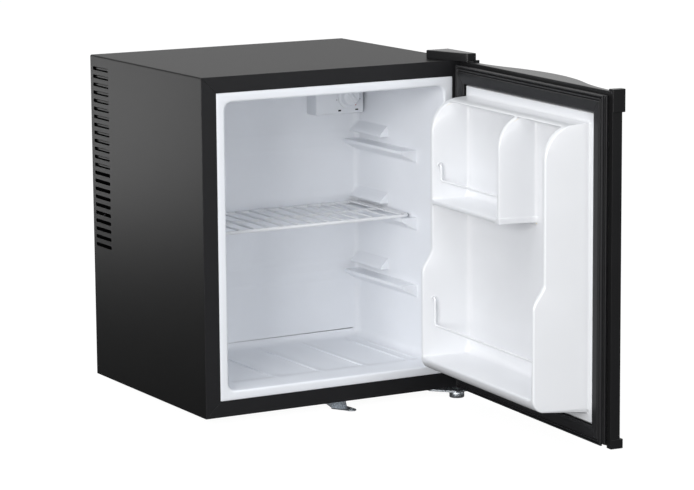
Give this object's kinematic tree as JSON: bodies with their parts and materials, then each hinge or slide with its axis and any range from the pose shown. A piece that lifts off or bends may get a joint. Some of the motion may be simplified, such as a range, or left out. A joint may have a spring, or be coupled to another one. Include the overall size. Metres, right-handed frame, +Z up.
{
  "type": "mini fridge",
  "caption": "Compact upright refrigerator with an insulated cabinet, a bowed swing door with storage bins, a wire shelf and a dial thermostat.",
  "frame": {"origin": "on the floor under the middle of the cabinet, where the feet stand", "axes": "+Z up, -Y to the front where the door is, +X to the hinge side, on the right seen from the front"},
  "size_m": [0.4389, 0.806, 0.507],
  "materials": {
    "painted_shell": "satin",
    "front_frame": "satin",
    "galvanised_sheet": "satin",
    "supply_case": "satin",
    "zinc_plate": "satin",
    "steel_pin": "satin",
    "white_liner": "satin",
    "white_moulding": "satin",
    "insulation_foam": "matte",
    "black_moulding": "satin",
    "gasket_rubber": "matte",
    "magnet_strip": "matte",
    "bare_aluminium": "satin",
    "copper_pipe": "satin",
    "module_ceramic": "matte",
    "brass_insert": "satin",
    "coated_wire": "gloss",
    "bush_plastic": "matte"
  },
  "bodies": {
    "cabinet": {"left_side_panel": "painted_shell", "right_side_panel": "painted_shell", "top_panel": "painted_shell", "bottom_panel": "galvanised_sheet", "rear_cover": "painted_shell", "rear_flanges": "painted_shell", "rear_cover_screws": "steel_pin", "inner_liner": "white_liner", "liner_sides": "white_liner", "cabinet_insulation": "insulation_foam", "backing_sheet": "galvanised_sheet", "cold_plate": "bare_aluminium", "cold_block": "bare_aluminium", "thermoelectric_module": "module_ceramic", "hot_block": "bare_aluminium", "heat_pipes": "copper_pipe", "radiator_fins": "bare_aluminium", "power_supply": "supply_case", "mains_inlet": "black_moulding", "thermostat_housing": "white_moulding", "thermostat_switch": "black_moulding", "thermostat_screws": "steel_pin", "foot_inserts": "brass_insert", "rear_feet": "black_moulding", "top_hinge_plate": "zinc_plate", "top_hinge_pin": "steel_pin", "top_hinge_screws": "steel_pin", "hinge_cover": "black_moulding", "bottom_hinge_plate": "zinc_plate", "bottom_hinge_pin": "steel_pin", "bottom_hinge_screws": "steel_pin", "hinge_washer": "bush_plastic", "fixing_lug": "zinc_plate", "lug_screw": "steel_pin", "front_rail_top": "front_frame", "front_rail_bottom": "front_frame", "front_rail_left": "front_frame", "front_rail_right": "front_frame"},
    "door": {"door_skin": "painted_shell", "door_foam": "insulation_foam", "door_liner": "white_liner", "door_top_trim": "black_moulding", "door_bottom_trim": "black_moulding", "door_corner_top": "black_moulding", "door_corner_bottom": "black_moulding", "door_strip_free": "black_moulding", "door_strip_hinge": "black_moulding", "door_strip_caps": "black_moulding", "door_gasket": "gasket_rubber", "gasket_magnets": "magnet_strip", "upper_hinge_bush": "bush_plastic", "lower_hinge_bush": "bush_plastic", "door_bottom_plate": "zinc_plate"},
    "shelf": {"wire_shelf": "coated_wire"},
    "dial": {"thermostat_dial": "white_moulding"},
    "upper_retainer": {"upper_bin_retainer": "coated_wire"},
    "lower_retainer": {"lower_bin_retainer": "coated_wire"},
    "front_foot": {"front_foot": "black_moulding"},
    "corner_foot": {"corner_foot": "zinc_plate"}
  },
  "joints": [
    {"name": "door_hinge", "type": "hinge", "parent": "cabinet", "child": "door", "pos_m": [0.2045, -0.2005, 0.012], "axis": [0, 0, 1], "range_deg": [-86.1, 33.9]},
    {"name": "shelf_slide", "type": "slide", "parent": "cabinet", "child": "shelf", "axis": [0, -1, 0], "range_m": [0, 0.12]},
    {"name": "dial_turn", "type": "hinge", "parent": "cabinet", "child": "dial", "pos_m": [0.1473, 0.045, 0.423], "axis": [0, 1, 0], "range_deg": [0, 270]},
    {"name": "upper_retainer_swing", "type": "hinge", "parent": "door", "child": "upper_retainer", "pos_m": [0.12644, -0.33841, 0.354], "axis": [0.068, 0.9977, 0], "range_deg": [-60, 15]},
    {"name": "lower_retainer_swing", "type": "hinge", "parent": "door", "child": "lower_retainer", "pos_m": [0.11227, -0.39919, 0.162], "axis": [0.068, 0.9977, 0], "range_deg": [-60, 15]},
    {"name": "front_foot_turn", "type": "hinge", "parent": "cabinet", "child": "front_foot", "pos_m": [-0.163, -0.108, 0.012], "axis": [0, 0, 1], "continuous": true},
    {"name": "corner_foot_turn", "type": "hinge", "parent": "cabinet", "child": "corner_foot", "pos_m": [0.1904, -0.1948, 0.012], "axis": [0, 0, 1], "continuous": true}
  ]
}
